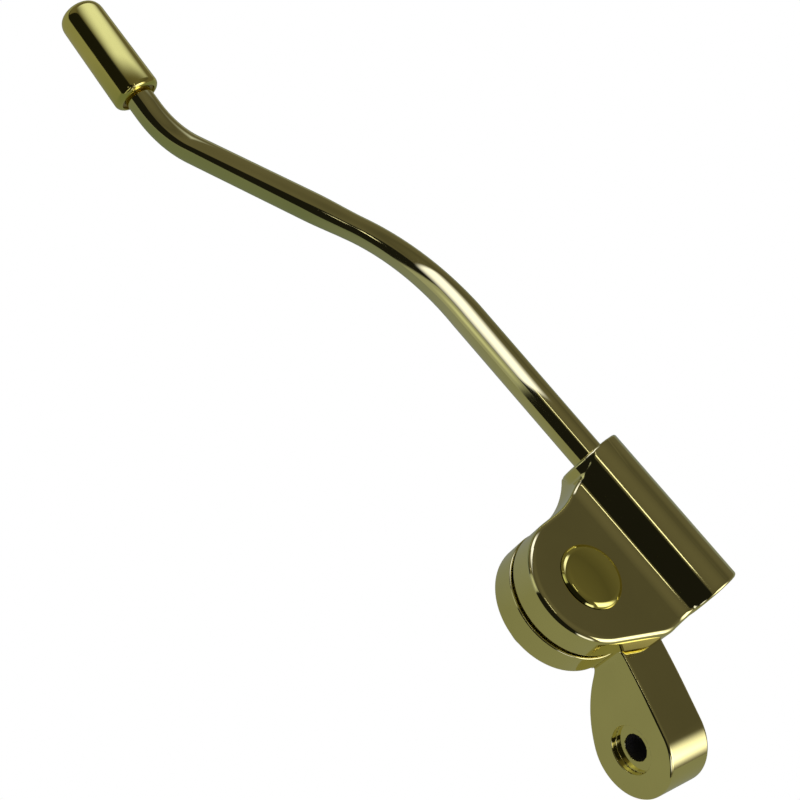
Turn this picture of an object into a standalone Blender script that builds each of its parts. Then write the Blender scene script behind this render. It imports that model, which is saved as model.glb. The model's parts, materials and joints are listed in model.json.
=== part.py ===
"""A guitar vibrato arm with a folding swivel holder, in metres, +Z up.

The origin is the centre of the lever's screw hole, on the back face that bears on the vibrato's shaft.
+Y points out of that face along the hole, +X away from the swivel's pivot, and +Z along the pivot, upwards.
"""

import math

import bmesh
import bpy
from mathutils import Matrix, Vector

MM = 0.001

# Lever: the lug that is screwed to the vibrato's shaft
HOLE_R = 2.9 * MM
SEAT_R = 4.5 * MM
SEAT_DEPTH = 1.3 * MM
LUG_THICK = 10.3 * MM
LUG_END_R = 9.1 * MM
LUG_BELLY_R = 24.0 * MM
LUG_TOP_X = 13.7 * MM
LUG_ROOT_X = 10.9 * MM
LUG_BACK_X = 8.0 * MM
LUG_RIM = 0.9 * MM
LUG_STEP = 0.05 * MM

# Places of the pivot and of the cheek's top face, from the screw hole
PIVOT_X = -27.5 * MM
PIVOT_Y = -14.1 * MM
CHEEK_TOP_Z = 17.3 * MM

# Base disc, with heights counted from the cheek's top face
BASE_R = 12.5 * MM
BASE_TOP = -6.45 * MM
BASE_THICK = 5.65 * MM
BASE_RIM = 0.9 * MM
BASE_BORE_R = 4.5 * MM
WASHER_POCKET_R = 10.5 * MM
WASHER_POCKET_DEPTH = 0.9 * MM
SPRING_POCKET_R = 8.5 * MM
SPRING_POCKET_DEPTH = 2.5 * MM

# Arm holder: the round cheek and the barrel along its edge
SWIVEL_REST = math.radians(14.4)
CHEEK_R = 12.3 * MM
CHEEK_THICK = 5.85 * MM
CHEEK_RIM = 1.2 * MM
CHEEK_UNDER_RIM = 0.4 * MM
BARREL_R = 6.3 * MM
BARREL_Y = 19.5 * MM
BARREL_Z = 0.15 * MM
BARREL_TOP_X = -16.8 * MM
BARREL_END_X = 16.4 * MM
BARREL_RIM = 0.9 * MM
BARREL_END_RIM = 0.6 * MM
BLEND_R = 4.3 * MM
FLARE_R = 18.0 * MM
FLARE_Y = 4.3 * MM
SKIRT_Y = 9.0 * MM
BARREL_BORE_R = 3.9 * MM
BARREL_LIP = 1.5 * MM

# Pivot bolt and what it clamps
BOLT_R = 3.0 * MM
BOLT_HEAD_R = 6.2 * MM
BOLT_HEAD_EDGE = 0.9 * MM
BOLT_HEAD_RISE = 1.1 * MM
BOLT_HEAD_CROWN = 0.25 * MM
BOLT_NECK_HALF = 4.0 * MM
BOLT_NECK_DEPTH = 2.4 * MM
BOLT_END_Z = -21.3 * MM
SPRING_THICK = 0.6 * MM
SPRING_CONE = 0.5 * MM
SPRING_R = 7.5 * MM
NUT_FLATS = 10.0 * MM
NUT_HEX = 4.3 * MM
NUT_COLLAR_R = 4.7 * MM
NUT_COLLAR = 1.5 * MM
NUT_CHAMFER = 0.5 * MM

# Rod: its bends and the journal that turns in the friction sleeve
ROD_R = 3.0 * MM
ROD_ROOT_R = 3.15 * MM
ROD_NECK = 0.11
ROD_NECK_RUN = 12.0 * MM
ROD_STRAIGHT = 34.5 * MM
BEND_1 = math.radians(25.3)
BEND_1_R = 63.0 * MM
ROD_SLOPE = 44.4 * MM
BEND_2 = math.radians(30.6)
BEND_2_R = 19.0 * MM
ROD_END = 5.3 * MM
ARM_TWIST_REST = math.radians(-7.5)
JOURNAL_R = 2.5 * MM
JOURNAL_TOP_X = -11.3 * MM
JOURNAL_END_X = 9.4 * MM
CLIP_GROOVE_R = 1.9 * MM
CLIP_GROOVE_X = 7.6 * MM
CLIP_GROOVE_WIDE = 1.0 * MM
CLIP_R = 3.5 * MM
CLIP_THICK = 0.8 * MM
CLIP_OPENING = 80.0
SLEEVE_R = 3.6 * MM

# Tip: a turned cap on the rod's end
TIP_LONG = 23.3 * MM
TIP_MOUTH_R = 5.1 * MM
TIP_FAR_R = 4.8 * MM
TIP_DOME = 3.6 * MM
TIP_MOUTH_RIM = 1.2 * MM
TIP_BORE_DEPTH = 14.0 * MM
TIP_BUSH_R = 3.6 * MM
TIP_BUSH_LONG = 4.0 * MM
TIP_BUSH_IN = 0.4 * MM

# Set screws and their pads, in the barrel's far side
SCREW_R = 1.5 * MM
SCREW_LONG = 1.4 * MM
SCREW_SOCKET_R = 0.85 * MM
SCREW_SOCKET_DEPTH = 0.9 * MM
SCREW_X = (-5.8 * MM, 2.2 * MM)
PAD_R = 1.4 * MM
PAD_THICK = 0.55 * MM

# Plug in the barrel's lower end
PLUG_LONG = 1.8 * MM
PLUG_SLOT = 0.8 * MM

# Room between touching pieces, and the number of sides of round forms
GAP = 0.3 * MM
SEATED = 0.15 * MM
SIDES = 48
SMALL_SIDES = 28
RIM_STEPS = 2
BEND_STEPS = 9
SHARP = math.radians(32)
REACH = 60.0 * MM


def arc(centre, radius, start, end, steps):
    """Points of an arc in a plane, from start to end in degrees, both included."""
    points = []
    for i in range(steps + 1):
        angle = math.radians(start + (end - start) * i / steps)
        points.append((centre[0] + radius * math.cos(angle), centre[1] + radius * math.sin(angle)))
    return points


def tangent_angle(point, centre, radius, side):
    """Angle in degrees on a circle where a line from the point touches it."""
    across, along = point[0] - centre[0], point[1] - centre[1]
    spread = math.acos(radius / math.hypot(across, along))
    return math.degrees(math.atan2(along, across) + side * spread)


def circle_crossing(centre_a, radius_a, centre_b, radius_b):
    """The crossing of two circles that lies to the left of the line from a to b."""
    across, along = centre_b[0] - centre_a[0], centre_b[1] - centre_a[1]
    apart = math.hypot(across, along)
    reach = (radius_a ** 2 - radius_b ** 2 + apart ** 2) / (2 * apart)
    height = math.sqrt(radius_a ** 2 - reach ** 2)
    x = centre_a[0] + (reach * across - height * along) / apart
    y = centre_a[1] + (reach * along + height * across) / apart
    return x, y


def turned(profile, sides=SIDES, ring=False):
    """A solid turned about Z from (radius, height) points: from axis to axis, or closed, for a ring."""
    mesh = bmesh.new()
    rows = []
    for radius, height in profile:
        count = sides if radius > 0 else 1
        row = []
        for i in range(count):
            angle = 2 * math.pi * i / sides
            row.append(mesh.verts.new((radius * math.cos(angle), radius * math.sin(angle), height)))
        rows.append(row)
    pairs = list(zip(rows, rows[1:]))
    if ring:
        pairs.append((rows[-1], rows[0]))
    for first, second in pairs:
        for i in range(sides):
            j = i + 1
            corners = [first[i % len(first)], first[j % len(first)]]
            corners += [second[j % len(second)], second[i % len(second)]]
            mesh.faces.new(list(dict.fromkeys(corners)))
    bmesh.ops.recalc_face_normals(mesh, faces=mesh.faces)
    return mesh


def tube(inner, outer, low, high, sides=SMALL_SIDES):
    """A plain ring about Z."""
    return turned([(inner, low), (inner, high), (outer, high), (outer, low)], sides, ring=True)


def pin(radius, low, high, sides=SMALL_SIDES):
    """A plain round pin about Z."""
    return turned([(0, low), (radius, low), (radius, high), (0, high)], sides)


def prism(outline, low, high, rim=0.0, under_rim=None):
    """An outline in XY raised along Z, with its upper and lower rims rounded."""
    mesh = bmesh.new()
    under = [mesh.verts.new((x, y, low)) for x, y in outline]
    over = [mesh.verts.new((x, y, high)) for x, y in outline]
    mesh.faces.new(under)
    mesh.faces.new(over)
    for i in range(len(outline)):
        j = (i + 1) % len(outline)
        mesh.faces.new((under[i], under[j], over[j], over[i]))
    bmesh.ops.recalc_face_normals(mesh, faces=mesh.faces)
    lower = rim if under_rim is None else under_rim
    for height, radius in ((high, rim), (low, lower)):
        if radius:
            round_rim(mesh, height, radius)
    return mesh


def round_rim(mesh, height, radius):
    """Rounds the edges of a mesh that lie at one height."""
    rims = []
    for edge in mesh.edges:
        if all(abs(vert.co.z - height) < 1e-9 for vert in edge.verts):
            rims.append(edge)
    bmesh.ops.bevel(mesh, geom=rims, offset=radius, segments=RIM_STEPS, profile=0.5, affect="EDGES")


def along_x(mesh):
    """Turns a mesh made about Z so that its axis is X."""
    mesh.transform(Matrix.Rotation(math.radians(90), 4, "Y"))
    return mesh


def along_y(mesh):
    """Turns a mesh made about Z so that its axis is Y."""
    mesh.transform(Matrix.Rotation(math.radians(-90), 4, "X"))
    return mesh


def material(name, colour, metallic, roughness):
    """A Principled material of one colour."""
    made = bpy.data.materials.new(name)
    made.use_nodes = True
    shader = made.node_tree.nodes["Principled BSDF"]
    shader.inputs["Base Color"].default_value = (*colour, 1.0)
    shader.inputs["Metallic"].default_value = metallic
    shader.inputs["Roughness"].default_value = roughness
    made.diffuse_color = (*colour, 1.0)
    return made


def empty(name, parent=None, location=(0, 0, 0), rotation=(0, 0, 0)):
    """A frame that pieces are parented to."""
    made = bpy.data.objects.new(name, None)
    bpy.context.collection.objects.link(made)
    made.parent = parent
    made.location = location
    made.rotation_euler = rotation
    return made


def piece(name, mesh, finish, parent, location=(0, 0, 0), rotation=(0, 0, 0)):
    """One named sub-part, smooth over its round faces."""
    data = bpy.data.meshes.new(name)
    mesh.to_mesh(data)
    mesh.free()
    data.shade_smooth()
    data.set_sharp_from_angle(angle=SHARP)
    data.materials.append(finish)
    made = bpy.data.objects.new(name, data)
    bpy.context.collection.objects.link(made)
    made.parent = parent
    made.location = location
    made.rotation_euler = rotation
    return made


def combine(target, tool, operation):
    """Cuts, joins or crops a piece with a tool that is itself left out."""
    step = target.modifiers.new(f"{operation.title()} {tool.name}", "BOOLEAN")
    step.operation = operation
    step.solver = "EXACT"
    step.object = tool
    tool.hide_render = True
    tool.display_type = "WIRE"


def lug_outline():
    """The lever's side view: flat top, sloping edge, round end and long belly curve, in X and Z."""
    hole = (-PIVOT_X, -CHEEK_TOP_Z)
    start = (LUG_TOP_X, BASE_TOP - LUG_STEP)
    inner = -BASE_R
    root = (LUG_ROOT_X, BASE_TOP - BASE_THICK + BASE_RIM / 2)
    top = tangent_angle(start, hole, LUG_END_R, -1)
    belly = circle_crossing(root, LUG_BELLY_R, hole, LUG_BELLY_R - LUG_END_R)
    low = math.degrees(math.atan2(hole[1] - belly[1], hole[0] - belly[0]))
    last = math.degrees(math.atan2(root[1] - belly[1], root[0] - belly[0]))
    outline = [(inner, start[1]), start]
    outline += arc(hole, LUG_END_R, top, low, 26)
    outline += arc(belly, LUG_BELLY_R, low, last - 360 if last > low else last, 10)[1:]
    outline.append((inner, root[1]))
    return outline


def lug_plan():
    """The lever's top view: it grows out of the disc's wall and runs tangent to the bearing face."""
    inside = BASE_R - 1.0 * MM
    front = -PIVOT_Y - LUG_THICK - 1.0 * MM
    back = (LUG_BACK_X, -PIVOT_Y)
    wall = BASE_R - GAP
    touch = tangent_angle(back, (0, 0), wall, 1)
    leave = arc((0, 0), wall, touch, touch, 1)[0]
    slope = (back[1] - leave[1]) / (back[0] - leave[0])
    outline = arc((0, 0), inside, touch, math.degrees(math.asin(front / inside)), 14)
    past = back[1] + 2.0 * MM
    outline += [(REACH, front), (REACH, past), (back[0] + 2.0 * MM / slope, past), leave]
    return outline


def make_base_lever(frame, gold):
    """The base disc and its lever, one casting, with the pockets of the pivot and the screw hole."""
    low = BASE_TOP - BASE_THICK
    roof = low + SPRING_POCKET_DEPTH
    floor = BASE_TOP - WASHER_POCKET_DEPTH
    top_rim = BASE_RIM / 2
    profile = [(BASE_BORE_R, floor), (WASHER_POCKET_R, floor), (WASHER_POCKET_R, BASE_TOP)]
    profile += arc((BASE_R - top_rim, BASE_TOP - top_rim), top_rim, 90, 0, 3)
    profile += arc((BASE_R - BASE_RIM, low + BASE_RIM), BASE_RIM, 0, -90, 4)
    profile += [(SPRING_POCKET_R, low), (SPRING_POCKET_R, roof), (BASE_BORE_R, roof)]
    base = piece("base_lever", turned(profile, ring=True), gold, frame)

    front = -PIVOT_Y - LUG_THICK
    side_view = prism(lug_outline(), PIVOT_Y, -front, LUG_RIM)
    side_view.transform(Matrix.Rotation(math.radians(90), 4, "X"))
    lug = piece("lug_form", side_view, gold, frame)
    plan = piece("lug_plan", prism(lug_plan(), -REACH, REACH), gold, frame)
    combine(lug, plan, "INTERSECT")
    combine(base, lug, "UNION")

    hole_place = (-PIVOT_X, 0, -CHEEK_TOP_Z)
    steps = [(0, front - GAP), (SEAT_R, front - GAP), (SEAT_R, front + SEAT_DEPTH)]
    steps += [(HOLE_R, front + SEAT_DEPTH), (HOLE_R, -PIVOT_Y + GAP), (0, -PIVOT_Y + GAP)]
    hole = piece("screw_hole", along_y(turned(steps, SMALL_SIDES)), gold, frame, hole_place)
    combine(base, hole, "DIFFERENCE")


def make_pivot_stack(base_frame, swivel, gold, steel, nylon):
    """The pivot's bush and friction washers on the base, and the springs, washer and nut on the bolt."""
    cheek_under = -CHEEK_THICK
    floor = BASE_TOP - WASHER_POCKET_DEPTH
    roof = BASE_TOP - BASE_THICK + SPRING_POCKET_DEPTH
    clear = BOLT_R + GAP
    bush = tube(clear, BASE_BORE_R - GAP, roof + GAP / 3, floor)
    piece("pivot_bush", bush, nylon, base_frame)
    upper = tube(clear + GAP, WASHER_POCKET_R - GAP, floor + GAP, cheek_under - GAP, SIDES)
    piece("friction_washer_upper", upper, nylon, base_frame)
    height = roof - GAP
    lower = tube(clear + GAP, SPRING_POCKET_R - 2 * GAP, height - SPRING_THICK, height, SIDES)
    piece("friction_washer_lower", lower, nylon, base_frame)

    height -= SPRING_THICK + GAP
    inner = clear + GAP / 2
    rise = [(inner, height), (SPRING_R, height - SPRING_CONE)]
    fall = [(r, z - SPRING_THICK) for r, z in reversed(rise)]
    piece("disc_spring_upper", turned(rise + fall, SIDES, ring=True), steel, swivel)
    height -= SPRING_CONE + SPRING_THICK + GAP
    rise = [(inner, height - SPRING_CONE), (SPRING_R, height)]
    fall = [(r, z - SPRING_THICK) for r, z in reversed(rise)]
    piece("disc_spring_lower", turned(rise + fall, SIDES, ring=True), steel, swivel)
    height -= SPRING_CONE + SPRING_THICK + GAP
    washer = tube(clear, SPRING_R - 1.0 * MM, height - 1.0 * MM, height, SIDES)
    piece("thrust_washer", washer, steel, swivel)
    height -= 1.0 * MM + GAP
    make_lock_nut(swivel, steel, nylon, height)
    make_pivot_bolt(swivel, gold)


def make_lock_nut(swivel, steel, nylon, height):
    """A hexagon nut whose collar holds a nylon locking ring."""
    corner = NUT_FLATS / 2 / math.cos(math.radians(30))
    hexagon = prism(arc((0, 0), corner, 0, 300, 5), height - NUT_HEX, height)
    nut = piece("lock_nut", hexagon, steel, swivel)
    round_off = NUT_FLATS / 2
    barrel = [(0, height), (round_off, height), (corner, height - NUT_CHAMFER)]
    barrel += [(corner, height - NUT_HEX + NUT_CHAMFER), (round_off, height - NUT_HEX), (0, height - NUT_HEX)]
    turn = piece("nut_turning", turned(barrel), steel, swivel)
    combine(nut, turn, "INTERSECT")
    end = height - NUT_HEX - NUT_COLLAR
    collar = pin(NUT_COLLAR_R, end, height - NUT_HEX + GAP)
    combine(nut, piece("nut_collar", collar, steel, swivel), "UNION")
    clear = BOLT_R + GAP
    pocket_r = NUT_COLLAR_R - 0.5 * MM
    pocket = height - NUT_HEX - GAP
    steps = [(0, height + GAP), (clear, height + GAP), (clear, pocket), (pocket_r, pocket)]
    steps += [(pocket_r, end - GAP), (0, end - GAP)]
    combine(nut, piece("nut_bore", turned(steps, SMALL_SIDES), steel, swivel), "DIFFERENCE")
    ring = tube(clear, pocket_r - GAP, end + GAP / 2, pocket - GAP)
    piece("nut_insert", ring, nylon, swivel)


def make_pivot_bolt(swivel, gold):
    """The smooth domed bolt that the holder turns on, with a square neck that locks it in the cheek."""
    edge_r = BOLT_HEAD_R - BOLT_HEAD_EDGE
    crown = SEATED + BOLT_HEAD_RISE + BOLT_HEAD_CROWN
    profile = [(0, crown)]
    for share in (0.4, 0.75, 0.95):
        profile.append((edge_r * share, crown - BOLT_HEAD_CROWN * share ** 2))
    profile.append((edge_r + 0.15 * BOLT_HEAD_EDGE, SEATED + 0.9 * BOLT_HEAD_RISE))
    profile += [(BOLT_HEAD_R, SEATED), (BOLT_R, SEATED), (BOLT_R, BOLT_END_Z + 0.5 * MM)]
    profile += [(BOLT_R - 0.5 * MM, BOLT_END_Z), (0, BOLT_END_Z)]
    bolt = piece("pivot_bolt", turned(profile), gold, swivel)
    half = BOLT_NECK_HALF
    square = [(-half, -half), (half, -half), (half, half), (-half, half)]
    neck = prism(square, -BOLT_NECK_DEPTH, SEATED + BOLT_HEAD_RISE / 2)
    combine(bolt, piece("bolt_neck", neck, gold, swivel), "UNION")


def cheek_outline():
    """The cheek's top view: round about the pivot, flared to the barrel's top, straight to its lower end."""
    end_x = BARREL_END_X - GAP / 3
    flare = (-CHEEK_R - FLARE_R, FLARE_Y)
    flare_end = math.degrees(math.acos((BARREL_TOP_X + BARREL_RIM - flare[0]) / FLARE_R))
    skirt = (end_x, SKIRT_Y)
    touch = tangent_angle(skirt, (0, 0), CHEEK_R, -1)
    outline = arc(flare, FLARE_R, flare_end, 0, 9)
    outline.insert(0, (outline[0][0], BARREL_Y))
    outline += arc((0, 0), CHEEK_R, 180, 360 + touch, 26)
    outline += [skirt, (end_x, BARREL_Y)]
    return outline


def blend_outline():
    """Section of the hollow curve from the cheek's top face into the barrel, as (depth, place along Y)."""
    rise = BLEND_R - BARREL_Z
    apart = BARREL_R + BLEND_R
    start = BARREL_Y - math.sqrt(apart ** 2 - rise ** 2)
    touch = math.degrees(math.asin(rise / apart))
    section = arc((start, BLEND_R - LUG_STEP), BLEND_R, 270, 360 - touch, 7)
    inside = -CHEEK_THICK / 2 - GAP
    section += [(BARREL_Y, section[-1][1]), (BARREL_Y, inside), (start, inside)]
    return [(-height, along) for along, height in section]


def make_arm_holder(swivel, gold):
    """The cheek and barrel, one casting, bored for the rod, the pivot bolt and the set screws."""
    cheek = prism(cheek_outline(), -CHEEK_THICK, 0, CHEEK_RIM, CHEEK_UNDER_RIM)
    holder = piece("arm_holder", cheek, gold, swivel)
    corner = BARREL_R - BARREL_RIM
    profile = [(0, BARREL_TOP_X)]
    profile += arc((corner, BARREL_TOP_X + BARREL_RIM), BARREL_RIM, -90, 0, 3)
    end_rim = BARREL_END_RIM
    profile += arc((BARREL_R - end_rim, BARREL_END_X - end_rim), end_rim, 0, 90, 2)
    profile.append((0, BARREL_END_X))
    place = (0, BARREL_Y, BARREL_Z)
    barrel = piece("barrel_form", along_x(turned(profile)), gold, swivel, place)
    combine(holder, barrel, "UNION")
    low, high = BARREL_TOP_X + BARREL_RIM, BARREL_END_X - GAP / 3 - LUG_STEP
    section = prism(blend_outline(), low, high, CHEEK_RIM, 0.0)
    blend = piece("blend_form", along_x(section), gold, swivel)
    plan = piece("blend_plan", prism(cheek_outline(), -REACH, REACH), gold, swivel, (LUG_STEP, 0, 0))
    combine(blend, plan, "INTERSECT")
    combine(holder, blend, "UNION")

    lip = BARREL_TOP_X + BARREL_LIP
    steps = [(0, BARREL_TOP_X - GAP), (ROD_ROOT_R + GAP, BARREL_TOP_X - GAP), (ROD_ROOT_R + GAP, lip)]
    steps += [(BARREL_BORE_R, lip), (BARREL_BORE_R, BARREL_END_X + GAP), (0, BARREL_END_X + GAP)]
    bore = along_x(turned(steps, SMALL_SIDES))
    combine(holder, piece("barrel_bore", bore, gold, swivel, place), "DIFFERENCE")
    half = BOLT_NECK_HALF + GAP
    square = [(-half, -half), (half, -half), (half, half), (-half, half)]
    pocket = prism(square, -BOLT_NECK_DEPTH - GAP, GAP)
    combine(holder, piece("neck_pocket", pocket, gold, swivel), "DIFFERENCE")
    bore = pin(BOLT_R + GAP, -CHEEK_THICK - GAP, GAP)
    combine(holder, piece("pivot_bore", bore, gold, swivel), "DIFFERENCE")
    for number, x in enumerate(SCREW_X):
        hole = along_y(pin(SCREW_R + GAP, BARREL_BORE_R / 2, BARREL_R + GAP))
        tool = piece(f"screw_bore_{number}", hole, gold, swivel, (x, BARREL_Y, BARREL_Z))
        combine(holder, tool, "DIFFERENCE")


def make_set_screws(swivel, steel, nylon):
    """Two grub screws with hexagon sockets, each pressing a nylon pad on the friction sleeve."""
    foot = BARREL_BORE_R + PAD_THICK + GAP
    for name, x in zip(("upper", "lower"), SCREW_X):
        place = (x, BARREL_Y, BARREL_Z)
        pad = along_y(pin(PAD_R, BARREL_BORE_R, BARREL_BORE_R + PAD_THICK))
        piece(f"screw_pad_{name}", pad, nylon, swivel, place)
        end = foot + SCREW_LONG
        screw = piece(f"set_screw_{name}", along_y(pin(SCREW_R, foot, end)), steel, swivel, place)
        socket = prism(arc((0, 0), SCREW_SOCKET_R, 0, 300, 5), end - SCREW_SOCKET_DEPTH, end + GAP)
        tool = piece(f"socket_form_{name}", along_y(socket), steel, swivel, place)
        combine(screw, tool, "DIFFERENCE")


def make_barrel_plug(swivel, gold):
    """The slotted plug that closes the barrel's lower end behind the rod."""
    place = (0, BARREL_Y, BARREL_Z)
    end = BARREL_END_X - GAP / 2
    disc = along_x(pin(BARREL_BORE_R - GAP, end - PLUG_LONG, end))
    plug = piece("barrel_plug", disc, gold, swivel, place)
    half = PLUG_SLOT / 2
    slot = [(end - PLUG_SLOT, -half), (end + GAP, -half), (end + GAP, half), (end - PLUG_SLOT, half)]
    tool = piece("plug_slot", prism(slot, -BARREL_R, BARREL_R), gold, swivel, place)
    combine(plug, tool, "DIFFERENCE")


def rod_sections():
    """Points of the rod's centreline from its inner end to the tip, each with its slope and radius."""
    chamfer = 0.3 * MM
    groove_end = CLIP_GROOVE_X + CLIP_GROOVE_WIDE
    steps = [(JOURNAL_END_X, JOURNAL_R - chamfer), (JOURNAL_END_X - chamfer, JOURNAL_R)]
    steps += [(groove_end, JOURNAL_R), (groove_end, CLIP_GROOVE_R)]
    steps += [(CLIP_GROOVE_X, CLIP_GROOVE_R), (CLIP_GROOVE_X, JOURNAL_R)]
    steps += [(JOURNAL_TOP_X, JOURNAL_R), (JOURNAL_TOP_X, ROD_ROOT_R)]
    sections = [(Vector((x, 0, 0)), 0.0, radius) for x, radius in steps]
    point = Vector((BARREL_TOP_X - ROD_STRAIGHT, 0, 0))
    slope = 0.0
    sections.append((point.copy(), slope, ROD_ROOT_R))
    end = ROD_END + TIP_BORE_DEPTH - GAP
    runs = ((BEND_1, BEND_1_R, ROD_ROOT_R, ROD_NECK, ROD_SLOPE), (-BEND_2, BEND_2_R, ROD_R, 0.0, end))
    for bend, bend_r, thick, neck, straight in runs:
        step = bend / BEND_STEPS
        chord = 2 * bend_r * math.sin(abs(step) / 2)
        for i in range(BEND_STEPS):
            share = (i + 1) / BEND_STEPS
            middle = slope + step / 2
            point += chord * Vector((-math.cos(middle), 0, -math.sin(middle)))
            slope += step
            radius = thick + (ROD_R - thick) * share
            sections.append((point.copy(), slope, radius * (1 - neck * math.sin(math.pi / 2 * share))))
        onward = Vector((-math.cos(slope), 0, -math.sin(slope)))
        if neck:
            sections.append((point + ROD_NECK_RUN * onward, slope, ROD_R))
        point += straight * onward
        sections.append((point.copy(), slope, ROD_R))
    return sections


def tip_place():
    """Where the tip's mouth sits on the rod, and the turn that lays its axis along the rod's end."""
    end, slope, _ = rod_sections()[-1]
    onward = Vector((-math.cos(slope), 0, -math.sin(slope)))
    mouth = end - onward * (TIP_BORE_DEPTH - GAP)
    return mouth, (0, math.atan2(onward.x, onward.z), 0)


def make_arm_rod(arm, gold):
    """The bent rod, with its turned-down journal and clip groove at the inner end."""
    mesh = bmesh.new()
    rows = []
    for point, slope, radius in rod_sections():
        up = Vector((-math.sin(slope), 0, math.cos(slope)))
        row = []
        for i in range(SMALL_SIDES):
            angle = 2 * math.pi * i / SMALL_SIDES
            outward = math.cos(angle) * up + Vector((0, math.sin(angle), 0))
            row.append(mesh.verts.new(point + radius * outward))
        rows.append(row)
    for first, second in zip(rows, rows[1:]):
        for i in range(SMALL_SIDES):
            j = (i + 1) % SMALL_SIDES
            mesh.faces.new((first[i], first[j], second[j], second[i]))
    mesh.faces.new(rows[0])
    mesh.faces.new(rows[-1])
    bmesh.ops.recalc_face_normals(mesh, faces=mesh.faces)
    piece("arm_rod", mesh, gold, arm)


def make_rod_clip(arm, steel):
    """An open spring clip in the journal's groove, which keeps the sleeve on the rod."""
    inner = CLIP_GROOVE_R + GAP
    first, last = CLIP_OPENING / 2, 360 - CLIP_OPENING / 2
    outline = arc((0, 0), CLIP_R, first, last, 20) + arc((0, 0), inner, last, first, 20)
    middle = CLIP_GROOVE_X + CLIP_GROOVE_WIDE / 2
    clip = prism(outline, middle - CLIP_THICK / 2, middle + CLIP_THICK / 2)
    piece("rod_clip", along_x(clip), steel, arm)


def make_friction_sleeve(slide, nylon):
    """The nylon sleeve that grips the rod's journal and slides in the barrel."""
    low = JOURNAL_TOP_X + GAP
    high = CLIP_GROOVE_X + (CLIP_GROOVE_WIDE - CLIP_THICK) / 2 - GAP
    piece("friction_sleeve", along_x(tube(JOURNAL_R + GAP, SLEEVE_R, low, high)), nylon, slide)


def make_arm_tip(arm, gold, brass):
    """The turned cap on the rod's end and the bush in its mouth that centres it."""
    place, turn = tip_place()
    bore = ROD_R + GAP
    seat_r, seat = TIP_BUSH_R + GAP, TIP_BUSH_IN + TIP_BUSH_LONG + GAP
    shoulder = TIP_LONG - TIP_DOME
    profile = [(0, TIP_BORE_DEPTH), (bore, TIP_BORE_DEPTH), (bore, seat), (seat_r, seat), (seat_r, 0)]
    profile += arc((TIP_MOUTH_R - TIP_MOUTH_RIM, TIP_MOUTH_RIM), TIP_MOUTH_RIM, -90, 0, 4)
    for i in range(6):
        angle = math.radians(15 * i)
        profile.append((TIP_FAR_R * math.cos(angle), shoulder + TIP_DOME * math.sin(angle)))
    profile.append((0, TIP_LONG))
    piece("arm_tip", turned(profile, SIDES), gold, arm, place, turn)
    bush = tube(bore, TIP_BUSH_R, TIP_BUSH_IN, TIP_BUSH_IN + TIP_BUSH_LONG)
    piece("tip_bush", bush, brass, arm, place, turn)


def main():
    """Builds every piece in its own frame."""
    for old in list(bpy.data.objects):
        bpy.data.objects.remove(old, do_unlink=True)
    gold = material("polished gold plate", (0.80, 0.70, 0.30), 1.0, 0.08)
    steel = material("bright steel", (0.62, 0.62, 0.60), 1.0, 0.3)
    nylon = material("natural nylon", (0.82, 0.80, 0.72), 0.0, 0.5)
    brass = material("plain brass", (0.70, 0.52, 0.20), 1.0, 0.25)

    base_frame = empty("base_frame", None, (PIVOT_X, PIVOT_Y, CHEEK_TOP_Z))
    swivel = empty("swivel_axis", base_frame, (0, 0, 0), (0, 0, SWIVEL_REST))
    slide = empty("barrel_axis", swivel, (0, BARREL_Y, BARREL_Z))
    arm = empty("twist_axis", slide, (0, 0, 0), (ARM_TWIST_REST, 0, 0))

    make_base_lever(base_frame, gold)
    make_pivot_stack(base_frame, swivel, gold, steel, nylon)
    make_arm_holder(swivel, gold)
    make_set_screws(swivel, steel, nylon)
    make_barrel_plug(swivel, gold)
    make_friction_sleeve(slide, nylon)
    make_arm_rod(arm, gold)
    make_rod_clip(arm, steel)
    make_arm_tip(arm, gold, brass)


main()
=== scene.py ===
"""The looks of the vibrato arm: polished gold castings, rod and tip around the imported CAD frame.

Lengths are millimetres up to the point where a mesh is made, and metres after it.
"""

import json
import math

import bmesh
import bpy
import numpy as np
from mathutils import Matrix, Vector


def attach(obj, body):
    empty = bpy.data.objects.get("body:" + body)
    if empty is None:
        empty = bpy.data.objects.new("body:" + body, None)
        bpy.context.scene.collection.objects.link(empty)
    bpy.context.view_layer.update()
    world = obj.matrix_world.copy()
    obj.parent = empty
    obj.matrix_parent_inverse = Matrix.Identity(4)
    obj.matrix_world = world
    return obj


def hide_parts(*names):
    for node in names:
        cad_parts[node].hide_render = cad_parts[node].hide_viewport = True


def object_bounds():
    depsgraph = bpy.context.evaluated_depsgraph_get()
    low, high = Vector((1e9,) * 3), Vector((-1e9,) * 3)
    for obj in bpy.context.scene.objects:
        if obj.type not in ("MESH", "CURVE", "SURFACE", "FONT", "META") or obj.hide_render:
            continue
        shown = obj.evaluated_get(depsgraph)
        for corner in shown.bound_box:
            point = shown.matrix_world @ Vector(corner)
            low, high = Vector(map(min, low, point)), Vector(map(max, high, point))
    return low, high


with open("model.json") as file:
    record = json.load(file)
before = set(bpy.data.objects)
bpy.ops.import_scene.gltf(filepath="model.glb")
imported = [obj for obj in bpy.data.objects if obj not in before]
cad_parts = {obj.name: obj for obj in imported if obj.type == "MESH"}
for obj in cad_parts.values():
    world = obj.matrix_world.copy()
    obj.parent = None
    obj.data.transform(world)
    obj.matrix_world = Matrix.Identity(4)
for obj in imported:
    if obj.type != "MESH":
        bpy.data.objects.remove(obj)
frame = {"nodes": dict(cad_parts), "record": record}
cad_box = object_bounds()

import openvdb
from mathutils import Matrix, Vector

MM = 0.001

# Room between neighbouring pieces
GAP = 0.3

# Places of the pivot's frame and the turn of the holder and the arm, as in the CAD
PIVOT = Vector((-27.5, -14.1, 17.3))
SWIVEL_REST = math.radians(14.4)
ARM_TWIST_REST = math.radians(-7.5)

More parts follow.
